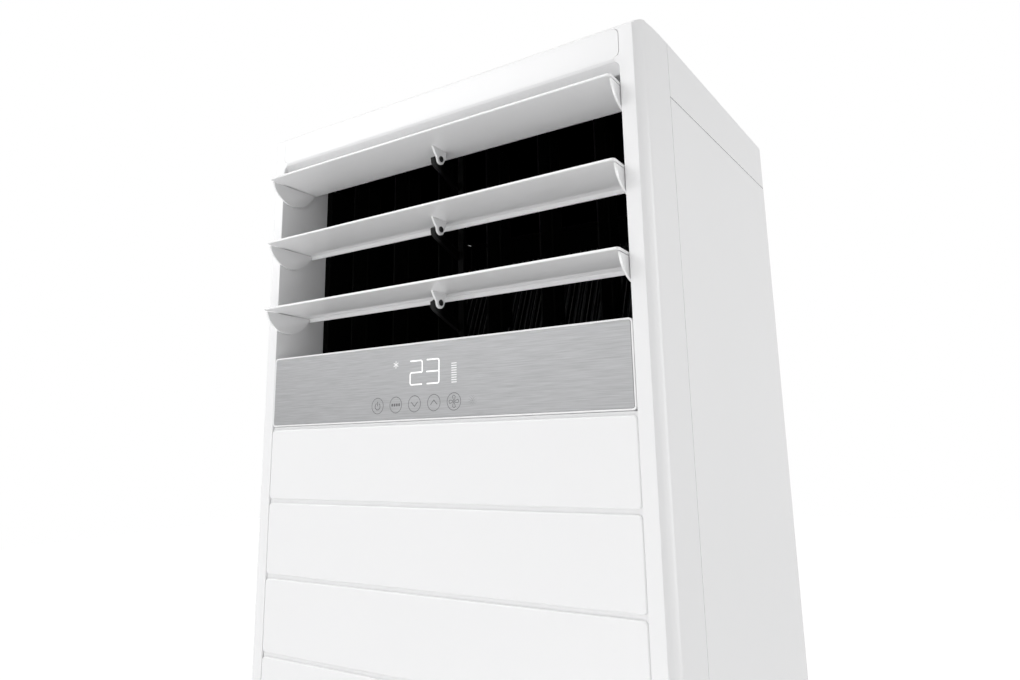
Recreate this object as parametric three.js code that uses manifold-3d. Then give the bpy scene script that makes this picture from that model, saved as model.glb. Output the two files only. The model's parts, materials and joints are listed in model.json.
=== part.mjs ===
// A floor standing air conditioner: a tall white cabinet with three swinging louvers over a control panel.
// Millimetres, +Z up, +X to the right seen from the front. Inside the cabinet group Y is 0 on the front
// face and grows towards the back. The group is moved so that the origin lies under the middle of the whole.
import * as THREE from "three";
import { mergeVertices } from "three/addons/utils/BufferGeometryUtils.js";
import Module from "manifold-3d";

const wasm = await Module();
wasm.setup();

// ---- driving dimensions ----
const width = 590; // over the side panels
const height = 1840;
const depth = 480; // front face to rear panel
const gap = 0.4; // between pieces that touch
const sheet = 1; // steel sheet
const wall = 3; // moulded walls

// front frame
const frameDepth = 85.6; // front face to the seam on the side
const cornerFlatInset = 6.5; // front flat ends this far inside the side face
const cornerRunBack = 23.5; // the corner curve ends this far behind the front face
const topCurveDrop = 15; // the front flat ends this far under the top
const topCurveBack = 27;
const frameColumn = 23.6; // width of the frame's column beside the openings
const openingHalf = width / 2 - frameColumn; // half the width of all front openings
const openingRadius = 8;
const outletTop = height - 54;
const sillZ = outletTop - 281; // floor of the air outlet
const recessBack = 83.4; // depth of the white outlet recess
const hoodDepth = 13; // sloping edge over the outlet
const hoodDrop = 9;
const ledgeReach = 11; // ledges behind the panels, in from the sides of the opening
const returnDepth = 50; // side walls of the lower opening
const plinthDepth = 5; // plinth face behind the front face

// trim strip over the outlet
const trimBottom = height - 48;
const trimTop = height - topCurveDrop - 0.6;
const trimThickness = 2.4;
const trimProud = 0.5;
const trimRadius = 6;

// control panel
const panelHeight = 92.8;
const panelBottom = sillZ - 0.8 - panelHeight;
const panelRim = 2.2; // white rim round the metal face
const panelFaceThickness = 1.6;
const bezelDepth = 16;
const bezelFloor = 2.5; // under the metal face
const displayLeft = -80;
const displayRight = 40;
const displayInset = 10; // edge of the display to the edge of the panel
const displayBoardThickness = 1.6;
const displayBoardLeft = -90;
const displayBoardRight = 60;

// bands of the front panels
const bandGroove = 5;
const bandRise = 3; // band face in front of its groove
const bandCount = 4; // on the fixed front panel
const intakeBandCount = 10; // on the hinged grille below it
const bandPanelGroove = 4.4; // between the first band and the control panel
const plinthTop = 81.2;
const bandPitch = (panelBottom - bandPanelGroove - plinthTop) / (bandCount + intakeBandCount);
const bandCornerRadius = 5;
const frontPanelWall = 3;

// intake grille
const intakeGapHeight = 34;
const slatThickness = 3;
const slatDepth = 12;
const slatsPerGap = 2;
const grilleWall = 4;
const grilleRim = 14;
const hingePinRadius = 3;
const hingePinLength = 5.5;
const hingeY = 6.5;
const hingeAboveBottom = 7;

// louvers
const louverCount = 3;
const louverTopPivotZ = outletTop - 42.5;
const louverPitch = 94.4;
const louverPivotY = 26.6;
const louverHalf = openingHalf - 0.9;
const bladeAbovePivot = 13; // underside over the pivot axis
const bladeReachFront = 51.1;
const bladeReachBack = 30;
const bladeThickness = 3.2;
const bladeTilt = 3.2; // front edge over rear edge
const bladeCorner = 4; // radius of the front corners, seen from above
const louverLip = 5; // rear lip turned down, on all but the top louver
const endCapThickness = 2.5;
const endCapDrop = 28;
const louverPinRadius = 2.6;
const pinClearance = 0.35;
const bracketEye = 6.5;
const crankRadius = 14;
const crankThickness = 3;
const crankWidth = 7;
const crankPinRadius = 2;
const linkWidth = 7;
const linkThickness = 2.5;

// centre support of the louvers
const supportY = 72;
const supportWidth = 9;
const supportDepth = 7;
const supportArmThickness = 6;
const bracketThickness = 3;

// black throat and vertical vanes
const throatHalf = openingHalf - 9.4;
const throatBack = 150;
const throatWall = 2.5;
const vaneCount = 6;
const vaneMargin = 61.25; // outer vane to the throat's wall
const vanePitch = (2 * (throatHalf - vaneMargin)) / (vaneCount - 1);
const vaneFrontY = 72;
const vaneChord = 54;
const vaneThickness = 1.8;
const vanePinRadius = 2.2;
const vanePinLength = 5;
const vaneEndClearance = 1.5;
const vanePivotBack = 28.8; // pivot behind the vane's front edge
const tieBarBack = 22; // tie bar pins behind the pivots
const tieBarPinRadius = 1.7;
const tieBarWidth = 8;
const tieBarThickness = 2;

// coil
const coilLean = 21; // degrees from upright, top towards the back
const coilThickness = 44;
const coilHalf = width / 2 - 59;
const finPitch = 8; // the fins are drawn coarser than they are
const finThickness = 2;
const finSpine = 4; // the row of tubes down the middle
const coilFootY = 190;
const endPlateThickness = 1.5;
const bendRadius = 9;
const bendReach = 12; // how far a return bend stands out
const tubeRadius = 4;
const bendCount = 8;
const bendSteps = 5;
const guardRibPitch = 10.6;
const guardRib = 2;
const guardClearance = 9;

// drain pan and shelf
const panDepth = 26;
const panWall = 2;
const drainStub = 14; // under the shelf
const drainStubRadius = 9;

// blower
const blowerZ = 430;
const wheelRadius = 165;
const wheelWidth = 150;
const wheelFrontY = 235;
const bladeCount = 22;
const wheelBladeChord = 24;
const hubRadius = 26;
const shaftRadius = 6;
const scrollWall = 2.5;
const scrollStart = 184;
const scrollGrowth = 62;
const scrollClear = 12;
const mouthRadius = 142;
const mouthFlange = 30;
const mouthWall = 1.6;
const motorRadius = 62;
const standHalf = 140;
const standDrop = 120; // legs end this far under the blower's axis
const standSheet = 2;
const saddleDepth = 30;
const motorLength = 84;

// filters
const filterThickness = 8;
const filterRim = 9;
const filterY = 36;
const filterRailWall = 2;
const filterFields = 6; // between the cross ribs of a filter
const filterFootLip = 8; // lip of the tray over a filter's foot
const filterHeadLip = 12;

// cabinet
const basePanHeight = 48;
const coverSkirt = 68.3; // under the top of the cover
const sideSeat = 0.6; // gap at the seams of the casing
const sideFlange = 14;
const coverLip = 24; // front edge of the cover, turned down behind the frame
const panRibY = [150, 425];
const stiffenerX = [-150, 0, 150]; // folds of the rear panel

// electrics
const controlBoxLeft = -170;
const controlBoxWidth = 250;
const controlBoxHeight = 190;
const controlBoxFront = 14;
const terminalLeft = 130;
const terminalAboveBox = 30; // above the foot of the control box
const magnetX = openingHalf - 81.4;

// pipes, gland and wall bracket
const liquidPipeRadius = 4.8;
const gasPipeRadius = 8;
const pipeX = width / 2 - 23;
const valveZ = 190;
const glandRadius = 9;
const glandX = 80 - width / 2;
const glandZ = 150;
const bracketWidth = 90;
const bracketPlateThickness = 2;
const bracketStandOff = 14;

// ---- materials ----
const finish = (color, roughness, metalness = 0) =>
  new THREE.MeshStandardMaterial({ color, roughness, metalness });
const white = finish(0xeeeeec, 0.38);
const steelWhite = finish(0xe6e7e6, 0.42);
const brushed = finish(0xb9bbbe, 0.32, 0.9);
const black = finish(0x101011, 0.55);
const darkGrey = finish(0x3a3b3d, 0.6);
const galvanised = finish(0xa9adb0, 0.45, 0.8);
const finAluminium = finish(0xc4c8ca, 0.4, 0.9);
const copper = finish(0xb4693f, 0.35, 0.95);
const boardGreen = finish(0x1f5a3a, 0.6);
const greyPlastic = finish(0x9a9c9e, 0.55);

// ---- solids ----
const AXES = {
  xy: [new THREE.Vector3(1, 0, 0), new THREE.Vector3(0, 1, 0), new THREE.Vector3(0, 0, 1)],
  yz: [new THREE.Vector3(0, 1, 0), new THREE.Vector3(0, 0, 1), new THREE.Vector3(1, 0, 0)],
  xz: [new THREE.Vector3(1, 0, 0), new THREE.Vector3(0, 0, 1), new THREE.Vector3(0, -1, 0)],
};

function solid(geometry) {
  const bare = geometry.index ? geometry.toNonIndexed() : geometry.clone();
  bare.deleteAttribute("normal");
  bare.deleteAttribute("uv");
  const merged = mergeVertices(bare, 1e-4);
  return new wasm.Manifold(
    new wasm.Mesh({
      numProp: 3,
      vertProperties: new Float32Array(merged.attributes.position.array),
      triVerts: new Uint32Array(merged.index.array),
    }),
  );
}

const join = (...solids) => solids.reduce((sum, next) => sum.add(next));
const cut = (body, ...tools) => tools.reduce((rest, tool) => rest.subtract(tool), body);

// A box between two corners.
function block(x0, x1, y0, y1, z0, z1) {
  const geometry = new THREE.BoxGeometry(x1 - x0, y1 - y0, z1 - z0);
  return solid(geometry.translate((x0 + x1) / 2, (y0 + y1) / 2, (z0 + z1) / 2));
}

// An outline in one plane, extruded along the axis square to it, from one value to another.
function prism(shape, plane, from, to, curveSegments = 4) {
  const geometry = new THREE.ExtrudeGeometry(shape, {
    depth: to - from,
    bevelEnabled: false,
    curveSegments,
  });
  geometry.applyMatrix4(new THREE.Matrix4().makeBasis(...AXES[plane]));
  const shift = plane === "xz" ? to : from;
  const along = { xy: [0, 0, shift], yz: [shift, 0, 0], xz: [0, shift, 0] }[plane];
  return solid(geometry.translate(...along));
}

// A round rod along one axis. a and b are the other two values of its centre line, in X, Y, Z order.
function rod(axis, radius, from, to, a, b, sides = 20) {
  const geometry = new THREE.CylinderGeometry(radius, radius, to - from, sides);
  const middle = (from + to) / 2;
  if (axis === "x") geometry.rotateZ(Math.PI / 2).translate(middle, a, b);
  if (axis === "y") geometry.translate(a, middle, b);
  if (axis === "z") geometry.rotateX(Math.PI / 2).translate(a, b, middle);
  return solid(geometry);
}

function roundedRectangle(a0, a1, b0, b1, radius) {
  const shape = new THREE.Shape();
  shape.moveTo(a0 + radius, b0);
  shape.lineTo(a1 - radius, b0);
  shape.absarc(a1 - radius, b0 + radius, radius, -Math.PI / 2, 0);
  shape.lineTo(a1, b1 - radius);
  shape.absarc(a1 - radius, b1 - radius, radius, 0, Math.PI / 2);
  shape.lineTo(a0 + radius, b1);
  shape.absarc(a0 + radius, b1 - radius, radius, Math.PI / 2, Math.PI);
  shape.lineTo(a0, b0 + radius);
  shape.absarc(a0 + radius, b0 + radius, radius, Math.PI, 1.5 * Math.PI);
  return shape;
}

// The stretch from a to b on one side of the middle, mirrored for side -1.
const span = (side, a, b) => [side * a, side * b].sort((p, q) => p - q);
const polygon = (points) => new THREE.Shape(points.map(([a, b]) => new THREE.Vector2(a, b)));

// A route through points, one step of a sweep from each to the next.
class Route extends THREE.Curve {
  constructor(points) {
    super();
    this.points = points;
  }
  getPoint(t) {
    const along = t * (this.points.length - 1);
    const i = Math.min(Math.floor(along), this.points.length - 2);
    return this.points[i].clone().lerp(this.points[i + 1], along - i);
  }
  getPointAt(t) {
    return this.getPoint(t);
  }
  getTangentAt(t) {
    return this.getTangent(t);
  }
}

// A round tube along a route. Its section has twice as many sides as the half circle has.
function tube(points, radius, halfSides = 4) {
  const section = new THREE.Shape();
  section.absarc(0, 0, radius, 0, 2 * Math.PI);
  return solid(new THREE.ExtrudeGeometry(section, {
    extrudePath: new Route(points),
    steps: points.length - 1,
    bevelEnabled: false,
    curveSegments: halfSides,
  }));
}

// A tube with straight runs and rounded bends.
function pipe(corners, radius, bend) {
  const places = corners.map((point) => new THREE.Vector3(...point));
  const route = [places[0]];
  for (let i = 1; i < places.length - 1; i++) {
    const before = places[i - 1].clone().sub(places[i]).setLength(bend).add(places[i]);
    const after = places[i + 1].clone().sub(places[i]).setLength(bend).add(places[i]);
    route.push(...new THREE.QuadraticBezierCurve3(before, places[i], after).getPoints(4));
  }
  route.push(places[places.length - 1]);
  return tube(route, radius);
}

const cabinet = new THREE.Group();

function piece(name, body, material, parent = cabinet) {
  const made = body.getMesh();
  const geometry = new THREE.BufferGeometry();
  geometry.setAttribute("position", new THREE.BufferAttribute(made.vertProperties, 3));
  geometry.setIndex(new THREE.BufferAttribute(made.triVerts, 1));
  geometry.computeVertexNormals();
  const mesh = new THREE.Mesh(geometry, material);
  mesh.name = name;
  parent.add(mesh);
  return mesh;
}

// ---- shared places ----
const half = width / 2;
const cornerFlat = half - cornerFlatInset;
const bandHeight = bandPitch - bandGroove;
const bandBottom = (i) => panelBottom - bandPanelGroove - bandHeight - bandPitch * i;
const frontPanelBottom = bandBottom(bandCount - 1);
const grilleTop = frontPanelBottom - bandGroove;
const grilleBottom = bandBottom(bandCount + intakeBandCount - 1);
const insertHalf = openingHalf - gap; // half width of what sits in the opening
const panelTop = panelBottom + panelHeight;
const shelfZ = frontPanelBottom + 44.8;
const coilLength = height - shelfZ - 122;
const coverFront = frameDepth + sideSeat;
const coverBottom = height - coverSkirt;
const sidePanelTop = coverBottom - sideSeat;
const innerHalf = half - sheet - gap; // half width of what stands between the side panels
const rearInside = depth - sheet - gap;
const hingeZ = grilleBottom + hingeAboveBottom;
const innerPlateY = returnDepth + gap; // the plate behind the front panel stands against the frame
const louverPivotZ = (i) => louverTopPivotZ - louverPitch * i;

// ---- casing ----
function frontFrame() {
  const plan = new THREE.Shape();
  plan.moveTo(-cornerFlat, 0);
  plan.lineTo(cornerFlat, 0);
  plan.quadraticCurveTo(half - cornerFlatInset / 8, cornerRunBack * 0.47, half, cornerRunBack);
  plan.lineTo(half, frameDepth);
  plan.lineTo(-half, frameDepth);
  plan.lineTo(-half, cornerRunBack);
  plan.quadraticCurveTo(-half + cornerFlatInset / 8, cornerRunBack * 0.47, -cornerFlat, 0);
  const profile = new THREE.Shape();
  profile.moveTo(0, 0);
  profile.lineTo(frameDepth, 0);
  profile.lineTo(frameDepth, height);
  profile.quadraticCurveTo(topCurveBack * 0.2, height, 0, height - topCurveDrop);
  const outer = prism(plan, "xy", 0, height).intersect(prism(profile, "yz", -half, half, 6));
  const inner = polygon([
    [-cornerFlat + wall, wall],
    [cornerFlat - wall, wall],
    [half - wall, cornerRunBack],
    [half - wall, frameDepth + 1],
    [-half + wall, frameDepth + 1],
    [-half + wall, cornerRunBack],
  ]);
  const hollow = prism(inner, "xy", -1, height - topCurveDrop - wall);
  const opening = roundedRectangle(-openingHalf, openingHalf, -50, outletTop, openingRadius);
  const recess = roundedRectangle(
    -openingHalf - wall, openingHalf + wall, sillZ - wall, outletTop + wall, openingRadius);
  const returnBox = (hand) =>
    block(...span(hand, openingHalf, openingHalf + wall), wall / 2, returnDepth, 0, sillZ);
  const ledgeY = bandRise + frontPanelWall + gap;
  const ledge = (hand, y, low, high) =>
    block(...span(hand, openingHalf - ledgeReach, openingHalf + wall), y, y + wall, low, high);
  const bezelY = bezelDepth + gap;
  const topRail = block(-openingHalf - 1, openingHalf + 1, grilleRim + gap, grilleRim + gap + wall,
    grilleTop - grilleRim, frontPanelBottom + grilleRim);
  const railLink = block(-openingHalf - 1, openingHalf + 1, ledgeY, grilleRim + gap + wall,
    frontPanelBottom + grilleRim - wall, frontPanelBottom + grilleRim);
  const bottomRail = block(-openingHalf - 1, openingHalf + 1, plinthDepth + wall + gap,
    plinthDepth + 2 * wall + gap, 0, plinthTop - 2);
  let body = cut(outer, hollow, prism(opening, "xz", -1, wall + 1, 5));
  body = join(body, cut(prism(recess, "xz", wall / 2, recessBack, 5),
    prism(opening, "xz", -1, recessBack + 1, 5)));
  body = join(body, returnBox(-1), returnBox(1), topRail, railLink, bottomRail,
    ledge(-1, ledgeY, frontPanelBottom, panelBottom - 2 * gap),
    ledge(1, ledgeY, frontPanelBottom, panelBottom - 2 * gap),
    ledge(-1, bezelY, panelBottom - 1, sillZ - wall), ledge(1, bezelY, panelBottom - 1, sillZ - wall));
  // the floor of the outlet, behind the control panel, and the sloping edge over the outlet
  const hood = polygon([
    [0, outletTop],
    [hoodDepth, outletTop - hoodDrop],
    [hoodDepth + wall, outletTop - hoodDrop],
    [hoodDepth + 2 * wall, outletTop + 1],
    [0, outletTop + 1],
  ]);
  body = join(body, block(-openingHalf - 1, openingHalf + 1, bezelDepth + gap, recessBack,
    sillZ - wall, sillZ), prism(hood, "yz", -openingHalf - 1, openingHalf + 1));
  const trimSeat = roundedRectangle(
    -openingHalf - gap, openingHalf + gap, trimBottom - gap, trimTop + gap, trimRadius);
  const hingeHoles = rod("x", hingePinRadius + pinClearance, -half + wall + 1, half - wall - 1,
    hingeY, hingeZ);
  const louverHoles = [];
  for (let i = 0; i < louverCount; i++) {
    louverHoles.push(rod("x", louverPinRadius + pinClearance, -openingHalf - wall - 1,
      openingHalf + wall + 1, louverPivotY, louverPivotZ(i)));
  }
  return cut(body, prism(trimSeat, "xz", -1, trimThickness - trimProud), hingeHoles, ...louverHoles);
}

function topTrim() {
  const face = roundedRectangle(-openingHalf, openingHalf, trimBottom, trimTop, trimRadius);
  return prism(face, "xz", -trimProud, trimThickness - trimProud - gap);
}

function frontPanel() {
  const back = block(-insertHalf, insertHalf, bandRise, bandRise + frontPanelWall,
    frontPanelBottom, panelBottom - gap);
  const bands = [];
  for (let i = 0; i < bandCount; i++) bands.push(band(bandBottom(i), bandHeight));
  return join(back, ...bands);
}

function band(bottom, tall) {
  return prism(roundedRectangle(-insertHalf, insertHalf, bottom, bottom + tall, bandCornerRadius),
    "xz", 0, bandRise + frontPanelWall / 2, 3);
}

function plinth() {
  return block(-insertHalf, insertHalf, plinthDepth, plinthDepth + wall, 1, plinthTop);
}

function intakeGrille() {
  const depthBack = grilleRim;
  let body = block(-insertHalf, insertHalf, bandRise, depthBack, grilleBottom, grilleTop);
  body = cut(body, block(-insertHalf + grilleWall, insertHalf - grilleWall, bandRise + grilleWall,
    depthBack + 1, grilleBottom + grilleWall, grilleTop - grilleWall));
  const parts = [];
  for (let i = bandCount; i < bandCount + intakeBandCount; i++) parts.push(band(bandBottom(i), bandHeight));
  body = join(body, ...parts);
  const windows = [];
  const slats = [];
  for (let i = bandCount; i < bandCount + intakeBandCount; i++) {
    const low = bandBottom(i) + grilleWall;
    const sideRim = insertHalf - grilleRim;
    windows.push(block(-sideRim, sideRim, -1, depthBack + 1, low, low + intakeGapHeight));
    for (let s = 1; s <= slatsPerGap; s++) {
      const z = low + (intakeGapHeight * s) / (slatsPerGap + 1);
      slats.push(block(-sideRim - 1, sideRim + 1, bandRise / 2, bandRise / 2 + slatDepth,
        z - slatThickness / 2, z + slatThickness / 2));
    }
  }
  body = join(cut(body, ...windows), ...slats);
  const post = block(-2, 2, bandRise + 1, depthBack, grilleBottom + 1, grilleTop - 1);
  const pins = [-1, 1].map((side) => {
    const ends = span(side, insertHalf - 2, insertHalf + hingePinLength);
    return rod("x", hingePinRadius, ...ends, hingeY, hingeZ);
  });
  return join(body, post, ...pins);
}

function sidePanel(side) {
  const inSheet = half - sheet / 2;
  return join(
    block(...span(side, half - sheet, half), coverFront, depth, 0, sidePanelTop),
    block(...span(side, half - sideFlange, inSheet), coverFront, coverFront + sheet, basePanHeight + gap,
      sidePanelTop - sheet / 2),
    block(...span(side, half - sideFlange, inSheet), coverFront + sheet / 2, depth - sideFlange,
      sidePanelTop - sheet, sidePanelTop),
  );
}

function rearPanel() {
  const plate = block(-innerHalf, innerHalf, depth - sheet, depth, 0, sidePanelTop);
  const stiffener = (x) => block(x - 12, x + 12, depth - sheet - 4, depth - sheet / 2,
    80, coverBottom - 80);
  const pipeHole = roundedRectangle(pipeX - 50, pipeX + 14, valveZ - 30, valveZ + 80, 8);
  return cut(join(plate, ...stiffenerX.map(stiffener)),
    prism(pipeHole, "xz", depth - 20, depth + 1),
    rod("y", glandRadius + gap, depth - 20, depth + 1, glandX, glandZ));
}

function topCover() {
  const outer = block(-half, half, coverFront, depth, coverBottom, height);
  const inner = block(-half + sheet, half - sheet, coverFront + sheet, depth - sheet,
    coverBottom - 1, height - sheet);
  const frontOpening = block(-half + sheet, half - sheet, coverFront - 1, coverFront + 2 * sheet,
    coverBottom - 1, height - coverLip);
  return cut(outer, inner, frontOpening);
}

function basePan() {
  const front = returnDepth + gap;
  const tray = join(
    block(-half + wall + gap, half - wall - gap, front, coverFront + 3 * sheet, 0, basePanHeight),
    block(-innerHalf, innerHalf, coverFront, rearInside, 0, basePanHeight),
  );
  const hollow = block(-half + 3 * wall, half - 3 * wall, front + wall, rearInside - wall, wall,
    basePanHeight + 1);
  const rib = (y) => block(-half + 2 * wall, half - 2 * wall, y - 1.5, y + 1.5, 1, basePanHeight / 2);
  return join(cut(tray, hollow), ...panRibY.map(rib));
}

piece("front_frame", frontFrame(), white);
piece("top_trim", topTrim(), white);
piece("front_panel", frontPanel(), white);
piece("plinth", plinth(), white);
piece("intake_grille", intakeGrille(), white);
piece("side_panel_left", sidePanel(-1), steelWhite);
piece("side_panel_right", sidePanel(1), steelWhite);
piece("rear_panel", rearPanel(), galvanised);
piece("top_cover", topCover(), steelWhite);
piece("base_pan", basePan(), galvanised);

// ---- control panel ----
function panelBezel() {
  const outline = roundedRectangle(-insertHalf, insertHalf, panelBottom, panelTop, bandCornerRadius);
  const seat = panelFaceThickness + gap;
  const faceSeat = roundedRectangle(-insertHalf + panelRim, insertHalf - panelRim,
    panelBottom + panelRim, panelTop - panelRim, bandCornerRadius - panelRim);
  const hollow = block(-insertHalf + wall, insertHalf - wall, seat + bezelFloor, bezelDepth + 1,
    panelBottom + wall, panelTop - wall);
  const displayWindow = block(displayLeft, displayRight, -1, bezelDepth,
    panelBottom + displayInset, panelTop - displayInset);
  return cut(prism(outline, "xz", 0, bezelDepth), prism(faceSeat, "xz", -1, seat), hollow,
    displayWindow);
}

function panelFace() {
  const inset = panelRim + gap / 2;
  const outline = roundedRectangle(-insertHalf + inset, insertHalf - inset, panelBottom + inset,
    panelTop - inset, bandCornerRadius - panelRim);
  return prism(outline, "xz", 0, panelFaceThickness);
}

function displayBoard() {
  const back = panelFaceThickness + bezelFloor + 2 * gap;
  const board = block(displayBoardLeft, displayBoardRight, back, back + displayBoardThickness,
    panelBottom + 6, panelTop - 6);
  const lens = block(displayLeft + 2, displayRight - 2, panelFaceThickness + gap, back + 1,
    panelBottom + displayInset + 2, panelTop - displayInset - 2);
  return join(board, lens);
}

// ---- louvers ----
// Outlines are in the Y-Z plane with the pivot at 0, 0.
function bladeOutline(lip) {
  const rise = bladeTilt / (bladeReachFront + bladeReachBack);
  const under = (y) => bladeAbovePivot - y * rise;
  const front = -bladeReachFront;
  const back = bladeReachBack;
  const rear = lip === 0 ? [[back + 0.6, under(back)]] : [
    [back - 3, under(back)],
    [back - 1.5, under(back) - lip],
    [back + 0.6, under(back) - lip],
  ];
  return polygon([
    [front, under(front)],
    ...rear,
    [back + 1, under(back) + 1],
    [back - 1.5, under(back) + bladeThickness],
    [front + 1.2, under(front) + bladeThickness],
    [front, under(front) + bladeThickness - 1],
  ]);
}

function endCapOutline() {
  const chordFront = -bladeReachFront + 4.5;
  const chordBack = bladeReachBack - 1.6;
  const chordZ = bladeAbovePivot + 1;
  const halfChord = (chordBack - chordFront) / 2;
  const radius = (halfChord ** 2 + endCapDrop ** 2) / (2 * endCapDrop);
  const swing = Math.asin(halfChord / radius);
  const shape = new THREE.Shape();
  shape.absarc((chordFront + chordBack) / 2, chordZ - endCapDrop + radius, radius,
    -Math.PI / 2 - swing, -Math.PI / 2 + swing);
  return shape;
}

function bracketOutline() {
  const top = bladeAbovePivot + 0.5;
  const shape = new THREE.Shape();
  shape.moveTo(-16, top);
  shape.lineTo(-bracketEye, 0);
  shape.absarc(0, 0, bracketEye, Math.PI, 2 * Math.PI);
  shape.lineTo(11, top);
  return shape;
}

function louver(lip) {
  const capInner = louverHalf - endCapThickness;
  const crankX = openingHalf + wall + gap;
  const crankTip = crankX + crankThickness;
  const seenFromAbove = roundedRectangle(-louverHalf, louverHalf, -bladeReachFront,
    bladeReachBack + 3 * bladeCorner, bladeCorner);
  const blade = prism(bladeOutline(lip), "yz", -louverHalf, louverHalf)
    .intersect(prism(seenFromAbove, "xy", 0, 2 * bladeAbovePivot));
  const body = join(blade,
    prism(endCapOutline(), "yz", capInner, louverHalf, 7),
    prism(endCapOutline(), "yz", -louverHalf, -capInner, 7),
    cut(prism(bracketOutline(), "yz", -bracketThickness / 2, bracketThickness / 2, 4),
      rod("x", louverPinRadius + pinClearance, -5, 5, 0, 0, 12)),
    rod("x", louverPinRadius, capInner, crankTip, 0, 0, 12),
    rod("x", louverPinRadius, -crankX - crankThickness, -capInner, 0, 0, 12),
  );
  const crank = join(
    block(crankX, crankTip, 0, crankRadius, -crankWidth / 2, crankWidth / 2),
    rod("x", crankWidth / 2, crankX, crankTip, crankRadius, 0, 12),
    rod("x", crankPinRadius, crankX, crankTip + gap + linkThickness, crankRadius, 0, 12),
  );
  return join(body, crank);
}

function louverLink() {
  const x = openingHalf + wall + gap + crankThickness + gap / 2;
  const bottom = louverPivotZ(louverCount - 1);
  const y = louverPivotY + crankRadius;
  const outline = roundedRectangle(y - linkWidth / 2, y + linkWidth / 2, bottom - linkWidth,
    louverPivotZ(0) + linkWidth, linkWidth / 2 - 0.1);
  const holes = [];
  for (let i = 0; i < louverCount; i++) {
    holes.push(rod("x", crankPinRadius + pinClearance, x - 1, x + linkThickness + 1,
      y, louverPivotZ(i), 16));
  }
  return cut(prism(outline, "yz", x, x + linkThickness), ...holes);
}

// A small flat stepping motor, its shaft hole open towards the driven pin.
function swingMotor(axis, near, far, a, b, pinRadius) {
  const radius = 14;
  const bored = Math.sign(far - near);
  const ends = [near, far].sort((p, q) => p - q);
  const hole = [near - bored, near + 6 * bored].sort((p, q) => p - q);
  const tabEnds = [near, near + 2 * bored].sort((p, q) => p - q);
  const tab = axis === "x" ? block(...tabEnds, a - 4, a + 4, b - 20, b + 20)
    : block(a - 20, a + 20, b - 4, b + 4, ...tabEnds);
  return cut(join(rod(axis, radius, ...ends, a, b, 24), tab),
    rod(axis, pinRadius + pinClearance, ...hole, a, b, 16));
}

function louverSupport() {
  const column = block(-supportWidth / 2, supportWidth / 2, supportY - supportDepth / 2,
    supportY + supportDepth / 2, sillZ + gap, outletTop - gap);
  const armRight = -bracketThickness / 2 - gap;
  const arms = [];
  for (let i = 0; i < louverCount; i++) {
    const z = louverPivotZ(i);
    const arm = new THREE.Shape();
    arm.moveTo(louverPivotY - 10, z + 1);
    arm.lineTo(louverPivotY - 9, z - 7);
    arm.lineTo(louverPivotY - 3, z - 11);
    arm.lineTo(supportY, z - 32);
    arm.lineTo(supportY, z - 22);
    arm.lineTo(louverPivotY + 6, z - 3);
    arm.lineTo(louverPivotY + 4, z + 5);
    arm.lineTo(louverPivotY - 3, z + 5);
    arms.push(prism(arm, "yz", armRight - supportArmThickness, armRight));
    arms.push(rod("x", louverPinRadius, armRight - 1, bracketThickness / 2 + gap + 1, louverPivotY, z, 16));
  }
  return join(column, ...arms);
}

piece("panel_bezel", panelBezel(), white);
piece("panel_face", panelFace(), brushed);
piece("display_board", displayBoard(), black);
for (let i = 0; i < louverCount; i++) {
  const made = piece("louver_" + ["top", "middle", "bottom"][i], louver(i === 0 ? 0 : louverLip), white);
  made.position.set(0, louverPivotY, louverPivotZ(i));
}
piece("louver_link", louverLink(), greyPlastic);
const motorFace = -(openingHalf + wall + gap);
piece("louver_motor", swingMotor("x", motorFace, -half + 2 * wall + 2, louverPivotY,
  louverPivotZ(louverCount - 1), louverPinRadius), darkGrey);
piece("louver_support", louverSupport(), black);

// ---- throat and vertical vanes ----
const throatBottom = sillZ + 2;
const throatTop = outletTop - 2;
const vanePivotY = vaneFrontY + vanePivotBack;
const vaneX = (i) => (i - (vaneCount - 1) / 2) * vanePitch;

function throat() {
  const front = recessBack + gap;
  const flange = block(-openingHalf - wall, openingHalf + wall, front, front + throatWall,
    sillZ - wall, outletTop + wall);
  const duct = block(-throatHalf - throatWall, throatHalf + throatWall, front, throatBack,
    throatBottom - throatWall, throatTop + throatWall);
  const air = block(-throatHalf, throatHalf, front - 1, throatBack + 1, throatBottom, throatTop);
  const pinHoles = [];
  for (let i = 0; i < vaneCount; i++) {
    pinHoles.push(rod("z", vanePinRadius + pinClearance, throatBottom - throatWall - 1,
      throatTop + throatWall + 1, vaneX(i), vanePivotY, 12));
  }
  return cut(join(flange, duct), air, ...pinHoles);
}

// A vane standing at X 0 with its pivot at Y 0. Its lower rear corner is cut away for the tie bar.
function vane() {
  const low = throatBottom + vaneEndClearance;
  const high = throatTop - vaneEndClearance;
  const front = -vanePivotBack;
  const blade = block(-vaneThickness / 2, vaneThickness / 2, front, front + vaneChord, low, high);
  const notch = block(-5, 5, tieBarBack - 9, front + vaneChord + 1, low - 1, low + 22);
  const tieBarPin = rod("z", tieBarPinRadius, low + 4, low + 23, 0, tieBarBack, 12);
  const pivot = rod("z", vanePinRadius, throatBottom - vanePinLength, throatTop + vanePinLength, 0, 0, 12);
  return join(cut(blade, notch), tieBarPin, pivot);
}

function vaneTieBar() {
  const z = throatBottom + vaneEndClearance + 10;
  const y = vanePivotY + tieBarBack;
  const end = vaneX(vaneCount - 1) + 8;
  const holes = [];
  for (let i = 0; i < vaneCount; i++) {
    holes.push(rod("z", tieBarPinRadius + pinClearance, z - 1, z + tieBarThickness + 1,
      vaneX(i), y, 12));
  }
  const bar = block(-end, end, y - tieBarWidth / 2, y + tieBarWidth / 2, z, z + tieBarThickness);
  return cut(bar, ...holes);
}

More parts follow.
